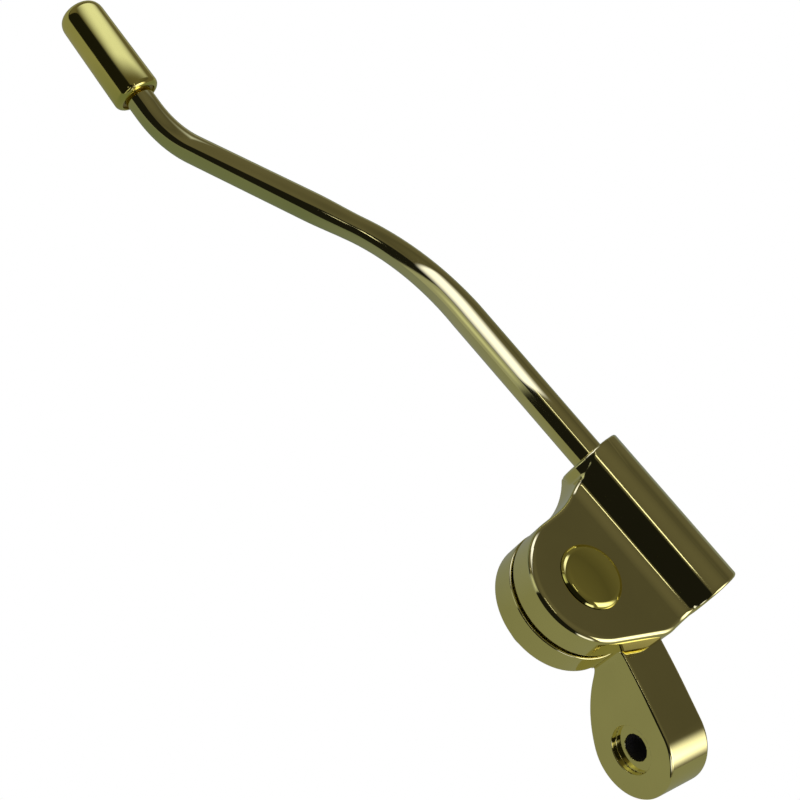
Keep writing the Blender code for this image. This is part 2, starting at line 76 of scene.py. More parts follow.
# Base disc and the lug that is screwed to the vibrato's shaft
BASE_R = 12.5
BASE_TOP = -6.45
BASE_LOW = -12.1
BASE_RIM = 0.9
BASE_TOP_RIM = 0.3
BASE_BORE_R = 4.5
WASHER_POCKET_R = 10.5
WASHER_POCKET_DEPTH = 0.9
SPRING_POCKET_R = 8.5
SPRING_POCKET_DEPTH = 2.5
LUG_FRONT = 3.8
LUG_BACK = 14.1
LUG_BACK_X = 8.0
LUG_END_R = 9.1
LUG_BELLY_R = 24.0
LUG_TOP_X = 13.7
LUG_ROOT = (10.9, -11.65)
LUG_RIM = 0.55
LUG_FILLET = 1.6
LUG_CORNER = 1.2
HOLE_R = 2.5
SEAT_R = 4.5
SEAT_DEPTH = 1.3

# Arm holder: the round cheek and the barrel along its edge
CHEEK_R = 12.3
CHEEK_LOW = -5.85
CHEEK_RIM = 1.2
CHEEK_UNDER_RIM = 0.4
FLARE_END_RIM = 0.25
FLARE_NARROW_X = -10.0
FLARE_R = 18.0
FLARE_Y = 4.3
SKIRT = (16.3, 6.2)
SKIRT_CORNER = 8.0
BARREL_R = 6.3
BARREL_Y = 19.5
BARREL_Z = 0.15
BARREL_TOP_X = -16.8
BARREL_END_X = 16.4
BARREL_RIM = 0.5
BARREL_END_RIM = 0.6
BARREL_FILLET = 0.25
BLEND_R = 4.3
BARREL_BORE_R = 3.9
BARREL_MOUTH_R = 3.45
BARREL_LIP = 1.5
SCREW_X = (-5.8, 2.2)
SCREW_BORE_R = 1.8

# Pivot bolt
BOLT_R = 3.0
BOLT_HEAD_R = 6.2
BOLT_HEAD_LOW = 0.15
BOLT_HEAD_CROWN = 0.45
BOLT_HEAD_ROUND = 1.75
BOLT_HEAD_TURN = (25, 79)
BOLT_NECK_HALF = 4.0
BOLT_NECK_DEPTH = 2.4
BOLT_END = -21.3
BOLT_CHAMFER = 0.5
THREAD_TOP = -13.2
THREAD_PITCH = 0.75
THREAD_DEPTH = 0.28

# Rod, from its inner end in the barrel to the tip
ROD_R = 3.0
ROD_ROOT_R = 3.15
ROD_NECK = 0.11
ROD_NECK_RUN = 12.0
ROD_STRAIGHT = 34.5
BEND_1 = math.radians(25.3)
BEND_1_R = 63.0
ROD_SLOPE = 42.5
BEND_2 = math.radians(30.6)
BEND_2_R = 26.0
ROD_END = 3.4
JOURNAL_R = 2.5
JOURNAL_TOP_X = -11.3
JOURNAL_END_X = 9.4
JOURNAL_CHAMFER = 0.3
CLIP_GROOVE_R = 1.9
CLIP_GROOVE = (7.6, 8.6)

# Tip: a turned cap on the rod's end, and the bush in its mouth
TIP_LONG = 23.3
TIP_MOUTH_R = 5.1
TIP_FAR_R = 4.8
TIP_DOME = 3.6
TIP_DOME_POWER = 2.6
TIP_MOUTH_RIM = 1.2
TIP_BORE_DEPTH = 14.0
TIP_BUSH_R = 3.6
TIP_BUSH_IN = 0.4
TIP_BUSH_LONG = 4.0

# Rings about the pivot: CAD node, body, slot, inner and outer radius, low, high and rise of the cone
RINGS = {
    "ring_friction_upper": ("friction_washer_upper", "base", "nylon", 3.6, 10.2, -7.05, -6.15, 0.0),
    "ring_friction_lower": ("friction_washer_lower", "base", "nylon", 3.6, 7.9, -10.5, -9.9, 0.0),
    "ring_spring_upper": ("disc_spring_upper", "holder", "steel", 3.45, 7.5, -11.4, -10.8, -0.5),
    "ring_spring_lower": ("disc_spring_lower", "holder", "steel", 3.45, 7.5, -13.3, -12.7, 0.5),
    "ring_thrust": ("thrust_washer", "holder", "steel", 3.3, 6.5, -14.6, -13.6, 0.0),
    "ring_locking": ("nut_insert", "holder", "nylon", 3.3, 3.9, -20.55, -19.8, 0.0),
}

# Lock nut, set screws and barrel plug
NUT_TOP = -14.9
NUT_HEX = 4.3
NUT_FLATS = 10.0
NUT_CORNER_R = 5.77
NUT_CHAMFER = 0.5
NUT_COLLAR_R = 4.7
NUT_COLLAR = 1.5
NUT_POCKET_R = 4.2
SCREW_R = 1.5
SCREW_FOOT = 4.75
SCREW_LONG = 1.4
SCREW_SOCKET_R = 0.74
SCREW_SOCKET_DEPTH = 0.9
PLUG_R = 3.6
PLUG_END_X = 16.25
PLUG_LONG = 1.8
PLUG_SLOT = 0.8

# Fineness of the meshes, the small round of their edges, and tolerances
CAST_STEP = 0.22
SMALL_STEP = 0.1
CAST_MARGIN = 1.0
FLARE_ROOM = 6.0
SETTLE_ROUNDS = 4
PROBE = 0.004
EDGE_ROUND = 0.2
SIDES = 128
ARC_STEP = math.radians(5)
CROWN_ROWS = 24
THREAD_ROWS = 10
BEND_ROWS = 40
NECK_ROWS = 12
TIP_DOME_ROWS = 18
SHARP = math.radians(35)
TINY = 1e-4
SMALLEST = 1e-12

# Finishes: colour, share of metal and roughness
FINISHES = {
    "Gold plate": ((0.86, 0.78, 0.30), 1.0, 0.06),
    "Bolt gold": ((0.88, 0.79, 0.18), 1.0, 0.06),
    "Tip gold": ((0.90, 0.79, 0.20), 1.0, 0.08),
    "Bright steel": ((0.60, 0.60, 0.58), 1.0, 0.25),
    "Natural nylon": ((0.80, 0.78, 0.70), 0.0, 0.5),
    "Plain brass": ((0.42, 0.31, 0.10), 1.0, 0.3),
    # Painted shade: a near-black colour for the screw hole's wall, standing in for the shade deep in
    # the hole
    "Bore painted shade": ((0.05, 0.045, 0.035), 0.0, 0.6),
}
SLOT_FINISH = {
    "gold_casting": "Gold plate",
    "gold_steel": "Gold plate",
    "gold_brass": "Tip gold",
    "plain_brass": "Plain brass",
    "steel": "Bright steel",
    "nylon": "Natural nylon",
}

# Finishes of the pieces that depart from their slot's, or have a second one, such as the painted shade
# in the base casting's screw hole
OWN_FINISHES = {
    "bolt_domed": ("Bolt gold",),
    "base_casting": ("Gold plate", "Bore painted shade"),
}

# Marks of wiping and unevenness in the finishes
CLOUD_SCALE = (90.0, 90.0, 90.0)
CLOUD_DETAIL = 3.0
CLOUD_RANGE = (0.3, 0.7)
CLOUD_SHADE = 0.94
MARK_SCALE = (150.0, 2600.0, 2600.0)
MARK_DETAIL = 1.0
MARK_STRENGTH = 0.05
MARK_DEPTH = 0.02
GLOSS_TOP = 0.5
GLOSS_SPREAD = (0.6, 1.4)

# Camera, from the photograph's perspective
CAMERA_PLACE = Vector((13.81, -191.48, 197.71))
CAMERA_RIGHT = Vector((0.4625, 0.7592, 0.4579))
CAMERA_DOWN = Vector((0.8255, -0.1802, -0.5349))
CAMERA_LENS = 65.96
CAMERA_SENSOR = 36.0
CAMERA_NEAR = 10.0

# Floor as the metal mirrors it, where white is 1: a glow of painted light for the lit floor, its front
# edge, and its colours along X, darker from -155 to -115 as a painted shadow of the arm
FLOOR_SIZE = 4000.0
FLOOR_GAP = 0.2
SHEET_FRONT = -110.0
SHEET_FADE = 15.0
PAINTED_FLOOR_LIGHT_AND_SHADOW = {
    -175: (0.26, 0.27, 0.25),
    # Painted shadow of the arm: the floor darker from here to -115, under the rod's low end
    -155: (0.16, 0.19, 0.16),
    -115: (0.15, 0.18, 0.16),
    -85: (0.25, 0.27, 0.33),
    -60: (0.245, 0.26, 0.25),
    -40: (0.235, 0.245, 0.195),
    0: (0.245, 0.255, 0.205),
}

# Ceiling as the metal mirrors it, by degrees above the horizon, and the dark side of the room
CEILING_TINT = (1.0, 0.93, 0.77)
CEILING = {10: 0.13, 30: 0.12, 44: 0.085, 50: 0.095, 68: 0.115, 90: 0.13}
DARK = (0.01, 0.01, 0.01)
DARK_SIDE = (math.radians(20), math.radians(-5))
DARK_REACH = math.radians(58)
DARK_FADE = math.radians(4)
WHITE = (1.0, 1.0, 1.0)

# Lit cards: four corners, colour, and the share that fades at the start and end of each direction
CARDS = {
    "overhead_card": (((-59, -62, 45), (-109, -62, 45), (-109, 2, 45), (-62, 2, 45)),
                      (1.4, 1.45, 2.6), (0.06, 0.08, 0.65, 0.25)),
    "front_card": (((-48.6, -97, -20), (-105, -97, -20), (-105, -97, 72), (-48.6, -97, 72)),
                   (0.34, 0.36, 0.38), (0.1, 0.1, 0.02, 0.1)),
    "streak_card": (((-48.6, -96, 5), (-100, -96, 5), (-100, -96, 55), (-48.6, -96, 55)),
                    (0.6, 0.64, 0.63), (0.3, 0.4, 0.45, 0.45)),
    "right_card": (((160, 360, -40), (430, 20, 60), (430, 20, 640), (160, 360, 400)),
                   (2.4, 2.4, 2.9), (0.45, 0.12, 0.3, 0.5)),
    "side_card": (((62, -20, 10), (45, -62, 10), (45, -62, 50), (62, -20, 50)),
                  (1.2, 1.25, 2.0), (0.25, 0.25, 0.25, 0.25)),
    "line_card": (((38, -156, 300), (-70, -156, 300), (-70, -134, 300), (38, -134, 300)),
                  (2.0, 2.0, 2.2), (0.04, 0.1, 0.3, 0.3)),
    "tip_card": (((-164.5, -50, 7), (-200, -50, 7), (-200, -12, 7), (-164.5, -12, 7)),
                 (0.82, 0.9, 1.35), (0.21, 0.1, 0.37, 0.53)),
    "bend_card": (((-140, -119, 50), (-162, -119, 50), (-162, -119, 58), (-140, -119, 58)),
                  (2.0, 2.0, 2.3), (0.3, 0.3, 0.3, 0.3)),
}
CARD_STEPS = 12


def tangent_angle(point, centre, radius, side):
    """Angle on a circle where a line from the point touches it."""
    across, along = point[0] - centre[0], point[1] - centre[1]
    spread = math.acos(radius / math.hypot(across, along))
    return math.atan2(along, across) + side * spread


def circle_crossing(centre_a, radius_a, centre_b, radius_b):
    """The crossing of two circles that lies to the left of the line from a to b."""
    across, along = centre_b[0] - centre_a[0], centre_b[1] - centre_a[1]
    apart = math.hypot(across, along)
    reach = (radius_a ** 2 - radius_b ** 2 + apart ** 2) / (2 * apart)
    height = math.sqrt(radius_a ** 2 - reach ** 2)
    x = centre_a[0] + (reach * across - height * along) / apart
    y = centre_a[1] + (reach * along + height * across) / apart
    return x, y


def slab(value, low, high):
    """Distance to a layer between two parallel planes."""
    return np.maximum(low - value, value - high)


def rounded_meet(a, b, radius):
    """Distance to what two forms share, with the edge between them rounded."""
    corner = np.hypot(np.maximum(a + radius, 0), np.maximum(b + radius, 0))
    return np.minimum(np.maximum(a, b), -radius) + corner


def rounded_join(a, b, radius):
    """Distance to two forms together, with the hollow between them filleted."""
    corner = np.hypot(np.maximum(radius - a, 0), np.maximum(radius - b, 0))
    return np.maximum(np.minimum(a, b), radius) - corner


def blended_top(y, z, radial):
    """Distance to the cheek's top face and the barrel, with the hollow curve between them."""
    rise = BLEND_R - BARREL_Z
    reach = math.sqrt((BARREL_R + BLEND_R) ** 2 - rise ** 2)
    across, above = y - BARREL_Y + reach, z - BLEND_R
    between = (across > 0) & (above * reach + across * rise < 0)
    return np.where(between, BLEND_R - np.hypot(across, above), np.minimum(z, radial - BARREL_R))


def cheek_plan(x, y):
    """Distance to the cheek's top view: round, flared to the barrel's top, skirted to its lower end."""
    touch = tangent_angle(SKIRT, (0, 0), CHEEK_R, -1)
    tangent = x * math.cos(touch) + y * math.sin(touch) - CHEEK_R
    across = SKIRT[0] - SKIRT_CORNER
    along = (CHEEK_R - SKIRT_CORNER - across * math.cos(touch)) / math.sin(touch)
    angle = np.arctan2(y - along, x - across)
    turning = (angle > touch) & (angle < 0)
    corner = np.hypot(x - across, y - along) - SKIRT_CORNER
    skirt = np.where(turning, corner, np.maximum(tangent, x - SKIRT[0]))
    flare = FLARE_R - np.hypot(x + CHEEK_R + FLARE_R, np.maximum(y - FLARE_Y, 0))
    upper = BARREL_TOP_X + EDGE_ROUND / 2 - x
    front = np.where(x > 0, CHEEK_R * math.sin(touch), 0) - y
    web = np.maximum.reduce([skirt, flare, upper, front, y - BARREL_Y])
    return np.minimum(np.hypot(x, y) - CHEEK_R, web)


def cheek_rim(x, z):
    """Rounding of the cheek's edge, which is smaller below and towards the flare's end."""
    rim = np.interp(x, (BARREL_TOP_X, FLARE_NARROW_X), (FLARE_END_RIM, CHEEK_RIM))
    return np.where(z > CHEEK_LOW / 2, rim, CHEEK_UNDER_RIM)


def holder_hollow(x, y, z, radial):
    """Distance to the holder's cuts: the rod's bore, and the holes of the bolt and the set screws."""
    wide = np.maximum(radial - BARREL_BORE_R, BARREL_TOP_X + BARREL_LIP - x)
    half = BOLT_NECK_HALF + GAP
    neck = np.maximum.reduce([np.abs(x) - half, np.abs(y) - half, -BOLT_NECK_DEPTH - GAP - z])
    cuts = [radial - BARREL_MOUTH_R, wide, np.hypot(x, y) - BOLT_R - GAP, neck]
    for screw_x in SCREW_X:
        hole = np.hypot(x - screw_x, z - BARREL_Z) - SCREW_BORE_R
        cuts.append(np.maximum(hole, BARREL_Y - y))
    return np.minimum.reduce(cuts)


def holder_distance(x, y, z):
    """Distance to the cheek and barrel, in the swivel's frame."""
    radial = np.hypot(y - BARREL_Y, z - BARREL_Z)
    layer = np.maximum(blended_top(y, z, radial), CHEEK_LOW - z)
    cheek = rounded_meet(cheek_plan(x, y), layer, cheek_rim(x, z))
    rim = np.where(x < 0, BARREL_RIM, BARREL_END_RIM)
    barrel = rounded_meet(radial - BARREL_R, slab(x, BARREL_TOP_X, BARREL_END_X), rim)
    solid = rounded_join(cheek, barrel, BARREL_FILLET)
    return rounded_meet(solid, -holder_hollow(x, y, z, radial), EDGE_ROUND)


def lug_side(x, z, hole, reach):
    """Distance to the lug's side view: sloping top, round end about the screw hole, long belly."""
    start = (LUG_TOP_X, BASE_TOP)
    high = tangent_angle(start, hole, LUG_END_R, -1)
    belly = circle_crossing(LUG_ROOT, LUG_BELLY_R, hole, LUG_BELLY_R - LUG_END_R)
    low = math.atan2(hole[1] - belly[1], hole[0] - belly[0])
    slope = (x - hole[0]) * math.cos(high) + (z - hole[1]) * math.sin(high) - LUG_END_R
    upper = rounded_meet(z - BASE_TOP, slope, LUG_CORNER)
    side = np.maximum(upper, np.hypot(x - belly[0], z - belly[1]) - LUG_BELLY_R)
    angle = np.arctan2(z - hole[1], x - hole[0])
    around = (angle > low) & (angle < high)
    return np.where(around, reach - LUG_END_R, side)


def lug_plan(x, y, round_plan):
    """Distance to the lug's top view: a strip with a fillet at its front and a taper at its back."""
    back = (LUG_BACK_X, LUG_BACK)
    leave = tangent_angle(back, (0, 0), BASE_R - GAP, 1)
    taper = x * math.cos(leave) + y * math.sin(leave) - BASE_R + GAP
    strip = np.maximum.reduce([LUG_FRONT - y, y - LUG_BACK, taper, -x])
    return np.maximum(rounded_join(round_plan, strip, LUG_FILLET), LUG_FRONT - LUG_FILLET - y)


def base_hollow(y, z, from_axis, reach):
    """Distance to the base's cuts: bore and pockets about the pivot, screw hole and its counterbore."""
    bore = from_axis - BASE_BORE_R
    washer = np.maximum(from_axis - WASHER_POCKET_R, BASE_TOP - WASHER_POCKET_DEPTH - z)
    spring = np.maximum(from_axis - SPRING_POCKET_R, z - BASE_LOW - SPRING_POCKET_DEPTH)
    seat = np.maximum(reach - SEAT_R, y - LUG_FRONT - SEAT_DEPTH)
    return np.minimum.reduce([bore, washer, spring, reach - HOLE_R, seat])


def base_distance(x, y, z):
    """Distance to the base disc and its lug, in the pivot's frame."""
    hole = (-PIVOT.x, -PIVOT.z)
    from_axis = np.hypot(x, y)
    reach = np.hypot(x - hole[0], z - hole[1])
    round_plan = from_axis - BASE_R
    rim = np.where(z > (BASE_TOP + BASE_LOW) / 2, BASE_TOP_RIM, BASE_RIM)
    disc = rounded_meet(round_plan, slab(z, BASE_LOW, BASE_TOP), rim)
    lug = rounded_meet(lug_side(x, z, hole, reach), lug_plan(x, y, round_plan), LUG_RIM)
    return rounded_meet(np.minimum(disc, lug), -base_hollow(y, z, from_axis, reach), EDGE_ROUND)


def hexagon_distance(x, y, half):
    """Distance to a hexagon of some half width across its flats, in a plane."""
    sides = []
    for turn in (30, 90, 150):
        angle = math.radians(turn)
        sides.append(np.abs(x * math.cos(angle) + y * math.sin(angle)))
    return np.maximum.reduce(sides) - half


def nut_distance(x, y, z):
    """Distance to the lock nut, a chamfered hexagon over its ring's collar, in the swivel's frame."""
    half = NUT_FLATS / 2
    low = NUT_TOP - NUT_HEX
    radius = np.hypot(x, y)
    lean = math.atan2(NUT_CHAMFER, NUT_CORNER_R - half)
    outward, upward = math.sin(lean), math.cos(lean)
    upper = (radius - half) * outward + (z - NUT_TOP) * upward
    lower = (radius - half) * outward + (low - z) * upward
    ends = np.maximum.reduce([slab(z, low, NUT_TOP), upper, lower])
    nut = rounded_meet(hexagon_distance(x, y, half), ends, EDGE_ROUND)
    collar = rounded_meet(radius - NUT_COLLAR_R, slab(z, low - NUT_COLLAR, low + GAP), 2 * EDGE_ROUND)
    pocket = np.maximum(radius - NUT_POCKET_R, z - low + GAP)
    hollow = np.minimum(radius - BOLT_R - GAP, pocket)
    return rounded_meet(np.minimum(nut, collar), -hollow, EDGE_ROUND / 2)


def screw_distance(x, y, z):
    """Distance to a set screw with a hexagon socket, along Y in the barrel's frame."""
    end = SCREW_FOOT + SCREW_LONG
    body = rounded_meet(np.hypot(x, z) - SCREW_R, slab(y, SCREW_FOOT, end), EDGE_ROUND)
    socket = np.maximum(hexagon_distance(x, z, SCREW_SOCKET_R), end - SCREW_SOCKET_DEPTH - y)
    return rounded_meet(body, -socket, EDGE_ROUND / 2)


def plug_distance(x, y, z):
    """Distance to the barrel's slotted plug, along X in the barrel's frame."""
    length = slab(x, PLUG_END_X - PLUG_LONG, PLUG_END_X)
    body = rounded_meet(np.hypot(y, z) - PLUG_R, length, EDGE_ROUND)
    slot = np.maximum(np.abs(y) - PLUG_SLOT / 2, PLUG_END_X - PLUG_SLOT - x)
    return rounded_meet(body, -slot, EDGE_ROUND / 2)


def bore_shade_faces(points):
    """Which points of the lever lie on the wall of its screw hole, which gets painted shade."""
    reach = np.hypot(points[:, 0] + PIVOT.x, points[:, 2] + PIVOT.z)
    return (reach < HOLE_R + EDGE_ROUND) & (points[:, 1] > LUG_FRONT + SEAT_DEPTH + EDGE_ROUND)


def direction(distance, points):
    """Unit gradient of a distance at some points."""
    slopes = []
    for axis in np.eye(3) * PROBE:
        slopes.append(distance(*(points + axis).T) - distance(*(points - axis).T))
    slopes = np.stack(slopes, 1)
    return slopes / np.maximum(np.linalg.norm(slopes, axis=1, keepdims=True), SMALLEST)


def cast(distance, low, high, grain):
    """A mesh of the surface where a distance is zero, with the surface's directions at its points."""
    axes = [np.arange(a, b, grain) for a, b in zip(low, high)]
    x, y, z = np.meshgrid(*axes, indexing="ij")
    grid = openvdb.FloatGrid(1.0)
    grid.copyFromArray(distance(x, y, z).astype(np.float32))
    points, quads = grid.convertToQuads(0.0)
    points = np.array(low) + points.astype(float) * grain
    for _ in range(SETTLE_ROUNDS):
        facing = direction(distance, points)
        points = points - distance(*points.T)[:, None] * facing
    facing = direction(distance, points)
    first, second, third = (points[quads[:, i]] for i in range(3))
    outward = np.cross(second - first, third - first)
    if (outward * facing[quads[:, 0]]).sum() < 0:
        quads = quads[:, ::-1]
    return points, quads, facing


def linked(name, data):
    """A new object in the scene, of a mesh or a camera."""
    made = bpy.data.objects.new(name, data)
    bpy.context.collection.objects.link(made)
    return made


def mesh_data(name, mesh):
    """The data of a finished mesh."""
    data = bpy.data.meshes.new(name)
    mesh.to_mesh(data)
    mesh.free()
    return data


def casting(name, distance, low, high, place, grain=CAST_STEP, inner=None):
    """An object of a cast form in the row frame; the faces that inner picks have its second material,
    which for the base is painted shade.
    """
    points, quads, facing = cast(distance, low, high, grain)
    data = bpy.data.meshes.new(name)
    data.from_pydata(points.tolist(), [], quads.tolist())
    data.shade_smooth()
    if inner:
        middles = points[quads].mean(axis=1)
        data.polygons.foreach_set("material_index", inner(middles).astype(np.int32))
    data.transform(place)
    turn = np.array(place.to_3x3().normalized())
    data.normals_split_custom_set_from_vertices((facing @ turn.T).tolist())
    return linked(name, data)


def piece(name, mesh, place):
    """An object of a finished mesh in the row frame, smooth over its round faces."""
    data = mesh_data(name, mesh)
    data.transform(place)
    data.shade_smooth()
    data.set_sharp_from_angle(angle=SHARP)
    made = linked(name, data)
    weighted = made.modifiers.new("Even normals", "WEIGHTED_NORMAL")
    weighted.keep_sharp = True
    return made


def arc(centre, radius, start, end):
    """Points of an arc in a plane, from start to end in degrees, both included."""
    steps = max(2, math.ceil(abs(math.radians(end - start)) / ARC_STEP))
    points = []
    for i in range(steps + 1):
        angle = math.radians(start + (end - start) * i / steps)
        points.append((centre[0] + radius * math.cos(angle), centre[1] + radius * math.sin(angle)))
    return points


def turned(profile, ring=False):
    """A form turned about Z from (radius, height) points: from axis to axis, or closed, for a ring."""
    mesh = bmesh.new()
    rows = []
    for radius, height in profile:
        count = SIDES if radius > 0 else 1
        row = []
        for i in range(count):
            angle = 2 * math.pi * i / SIDES
            row.append(mesh.verts.new((radius * math.cos(angle), radius * math.sin(angle), height)))
        rows.append(row)
    pairs = list(zip(rows, rows[1:]))
    if ring:
        pairs.append((rows[-1], rows[0]))
    for first, second in pairs:
        for i in range(SIDES):
            j = i + 1
            corners = [first[i % len(first)], first[j % len(first)]]
            corners += [second[j % len(second)], second[i % len(second)]]
            mesh.faces.new(list(dict.fromkeys(corners)))
    bmesh.ops.recalc_face_normals(mesh, faces=mesh.faces)
    return mesh


def ring_mesh(inner, outer, low, high, rise):
    """A flat or coned ring about Z with softened edges."""
    edge = EDGE_ROUND / 2
    profile = arc((inner + edge, low + edge), edge, 180, 270)
    profile += arc((outer - edge, low + edge), edge, 270, 360)
    profile += arc((outer - edge, high - edge), edge, 0, 90)
    profile += arc((inner + edge, high - edge), edge, 90, 180)
    coned = [(radius, height + rise * (radius - inner) / (outer - inner)) for radius, height in profile]
    return turned(coned, ring=True)


def bolt_profile():
    """Profile of the bolt: low crown, round edge, neck and shaft, with rows for the thread."""
    lean, level = BOLT_HEAD_TURN
    centre_r = BOLT_HEAD_R - BOLT_HEAD_ROUND * math.cos(math.radians(lean))
    centre_z = BOLT_HEAD_LOW - BOLT_HEAD_ROUND * math.sin(math.radians(lean))
    edge = arc((centre_r, centre_z), BOLT_HEAD_ROUND, level, lean)
    flat, shoulder = edge[0]
    profile = [(0, shoulder + BOLT_HEAD_CROWN)]
    for i in range(1, CROWN_ROWS):
        share = i / CROWN_ROWS
        profile.append((flat * share, shoulder + BOLT_HEAD_CROWN * (1 - share ** 2)))
    profile += edge
    profile += [(BOLT_NECK_HALF, BOLT_HEAD_LOW), (BOLT_NECK_HALF, -BOLT_NECK_DEPTH)]
    profile += [(BOLT_R, -BOLT_NECK_DEPTH), (BOLT_R, THREAD_TOP)]
    steps = round((THREAD_TOP - BOLT_END) / THREAD_PITCH * THREAD_ROWS)
    for i in range(1, steps + 1):
        profile.append((BOLT_R, THREAD_TOP - (THREAD_TOP - BOLT_END) * i / steps))
    return profile + [(0, BOLT_END)]


def square_neck(mesh):
    """Draws the bolt's neck, which is turned round at first, out to its square."""
    for vert in mesh.verts:
        x, y, z = vert.co
        if abs(math.hypot(x, y) - BOLT_NECK_HALF) < TINY and z < BOLT_HEAD_LOW + TINY:
            scale = BOLT_NECK_HALF / max(abs(x), abs(y))
            vert.co.x *= scale
            vert.co.y *= scale


def cut_thread(mesh):
    """Cuts a thread, which runs out at its top, and a chamfer into the bolt's lower end."""
    for vert in mesh.verts:
        radius = math.hypot(vert.co.x, vert.co.y)
        if radius > TINY and vert.co.z < THREAD_TOP - TINY:
            turn = vert.co.z / THREAD_PITCH + math.atan2(vert.co.y, vert.co.x) / (2 * math.pi)
            groove = THREAD_DEPTH * (1 - abs(2 * (turn % 1) - 1))
            fade = min(1.0, (THREAD_TOP - vert.co.z) / THREAD_PITCH)
            chamfer = max(0.0, BOLT_END + BOLT_CHAMFER - vert.co.z)
            scale = (radius - max(groove * fade, chamfer)) / radius
            vert.co.x *= scale
            vert.co.y *= scale


def bolt_mesh():
    """The domed bolt, with a square neck under its head and a thread on its lower end."""
    mesh = turned(bolt_profile())
    square_neck(mesh)
    cut_thread(mesh)
    return mesh


def onward(slope):
    """The rod's direction away from the barrel, at some slope."""
    return Vector((-math.cos(slope), 0, -math.sin(slope)))


def journal_sections():
    """Sections of the rod's turned-down journal, with its chamfered end and clip groove."""
    groove_low, groove_high = CLIP_GROOVE
    steps = [(JOURNAL_END_X, JOURNAL_R - JOURNAL_CHAMFER), (JOURNAL_END_X - JOURNAL_CHAMFER, JOURNAL_R)]
    steps += [(groove_high, JOURNAL_R), (groove_high, CLIP_GROOVE_R)]
    steps += [(groove_low, CLIP_GROOVE_R), (groove_low, JOURNAL_R)]
    steps += [(JOURNAL_TOP_X, JOURNAL_R), (JOURNAL_TOP_X, ROD_ROOT_R)]
    return [(Vector((x, 0, 0)), 0.0, radius) for x, radius in steps]


def bend_sections(point, slope, bend, bend_r, thick, neck):
    """Sections of a bend, which starts at some thickness and is drawn thinner by a share, its neck."""
    step = bend / BEND_ROWS
    chord = 2 * bend_r * math.sin(abs(step) / 2)
    sections = []
    for i in range(BEND_ROWS):
        share = (i + 1) / BEND_ROWS
        point = point + chord * onward(slope + step / 2)
        slope += step
        radius = thick + (ROD_R - thick) * share
        sections.append((point, slope, radius * (1 - neck * math.sin(math.pi / 2 * share))))
    return sections


def neck_sections(point, slope, thin):
    """Sections of the run after a neck, in which the rod grows to its full thickness."""
    sections = []
    for i in range(1, NECK_ROWS + 1):
        share = i / NECK_ROWS
        ease = share * share * (3 - 2 * share)
        place = point + ROD_NECK_RUN * share * onward(slope)
        sections.append((place, slope, thin + (ROD_R - thin) * ease))
    return sections


def rod_sections():
    """Points of the rod's centreline from its inner end to the tip, each with its slope and radius."""
    sections = journal_sections()
    sections.append((Vector((BARREL_TOP_X - ROD_STRAIGHT, 0, 0)), 0.0, ROD_ROOT_R))
    end = ROD_END + TIP_BORE_DEPTH - GAP
    runs = ((BEND_1, BEND_1_R, ROD_ROOT_R, ROD_NECK, ROD_SLOPE), (-BEND_2, BEND_2_R, ROD_R, 0.0, end))
    for bend, bend_r, thick, neck, straight in runs:
        point, slope, _ = sections[-1]
        sections += bend_sections(point, slope, bend, bend_r, thick, neck)
        point, slope, thin = sections[-1]
        if neck:
            sections += neck_sections(point, slope, thin)
        sections.append((point + straight * onward(slope), slope, ROD_R))
    return sections


def rod_mesh():
    """The bent rod, with its turned-down journal and clip groove at the inner end."""
    mesh = bmesh.new()
    rows = []
    for point, slope, radius in rod_sections():
        up = Vector((-math.sin(slope), 0, math.cos(slope)))
        row = []
        for i in range(SIDES):
            angle = 2 * math.pi * i / SIDES
            outward = math.cos(angle) * up + Vector((0, math.sin(angle), 0))
            row.append(mesh.verts.new(point + radius * outward))
        rows.append(row)
    for first, second in zip(rows, rows[1:]):
        for i in range(SIDES):
            j = (i + 1) % SIDES
            mesh.faces.new((first[i], first[j], second[j], second[i]))
    mesh.faces.new(rows[0])
    mesh.faces.new(rows[-1])
    bmesh.ops.recalc_face_normals(mesh, faces=mesh.faces)
    return mesh


def tip_place():
    """The tip's own frame on the rod: its mouth at the origin, its axis along the rod's end."""
    end, slope, _ = rod_sections()[-1]
    along = onward(slope)
    mouth = end - along * (TIP_BORE_DEPTH - GAP)
    turn = math.atan2(along.x, along.z)
    return Matrix.Translation(mouth) @ Matrix.Rotation(turn, 4, "Y")


def tip_mesh():
    """The turned cap, with a rounded mouth and a domed end."""
    bore = ROD_R + GAP
    seat_r, seat = TIP_BUSH_R + GAP, TIP_BUSH_IN + TIP_BUSH_LONG + GAP
    shoulder = TIP_LONG - TIP_DOME
    profile = [(0, TIP_BORE_DEPTH), (bore, TIP_BORE_DEPTH), (bore, seat), (seat_r, seat), (seat_r, 0)]
    profile += arc((TIP_MOUTH_R - TIP_MOUTH_RIM, TIP_MOUTH_RIM), TIP_MOUTH_RIM, -90, 0)
    for i in range(TIP_DOME_ROWS):
        angle = math.radians(90 * i / TIP_DOME_ROWS)
        radius = TIP_FAR_R * math.cos(angle) ** (2 / TIP_DOME_POWER)
        profile.append((radius, shoulder + TIP_DOME * math.sin(angle) ** (2 / TIP_DOME_POWER)))
    profile.append((0, TIP_LONG))
    return turned(profile)


def tip_bush_mesh():
    """The bush in the tip's mouth, which fills its seat round the rod."""
    play = EDGE_ROUND / 4
    inner, outer = ROD_R + play, TIP_BUSH_R + GAP - play
    return ring_mesh(inner, outer, TIP_BUSH_IN, TIP_BUSH_IN + TIP_BUSH_LONG, 0.0)


def make_holder(swivel):
    """The cheek and barrel, one casting."""
    low = (-CHEEK_R - FLARE_ROOM, -CHEEK_R - CAST_MARGIN, BARREL_Z - BARREL_R - CAST_MARGIN)
    high_y, high_z = BARREL_Y + BARREL_R + CAST_MARGIN, BARREL_Z + BARREL_R + CAST_MARGIN
    high = (BARREL_END_X + CAST_MARGIN, high_y, high_z)
    return casting("holder_casting", holder_distance, low, high, swivel)


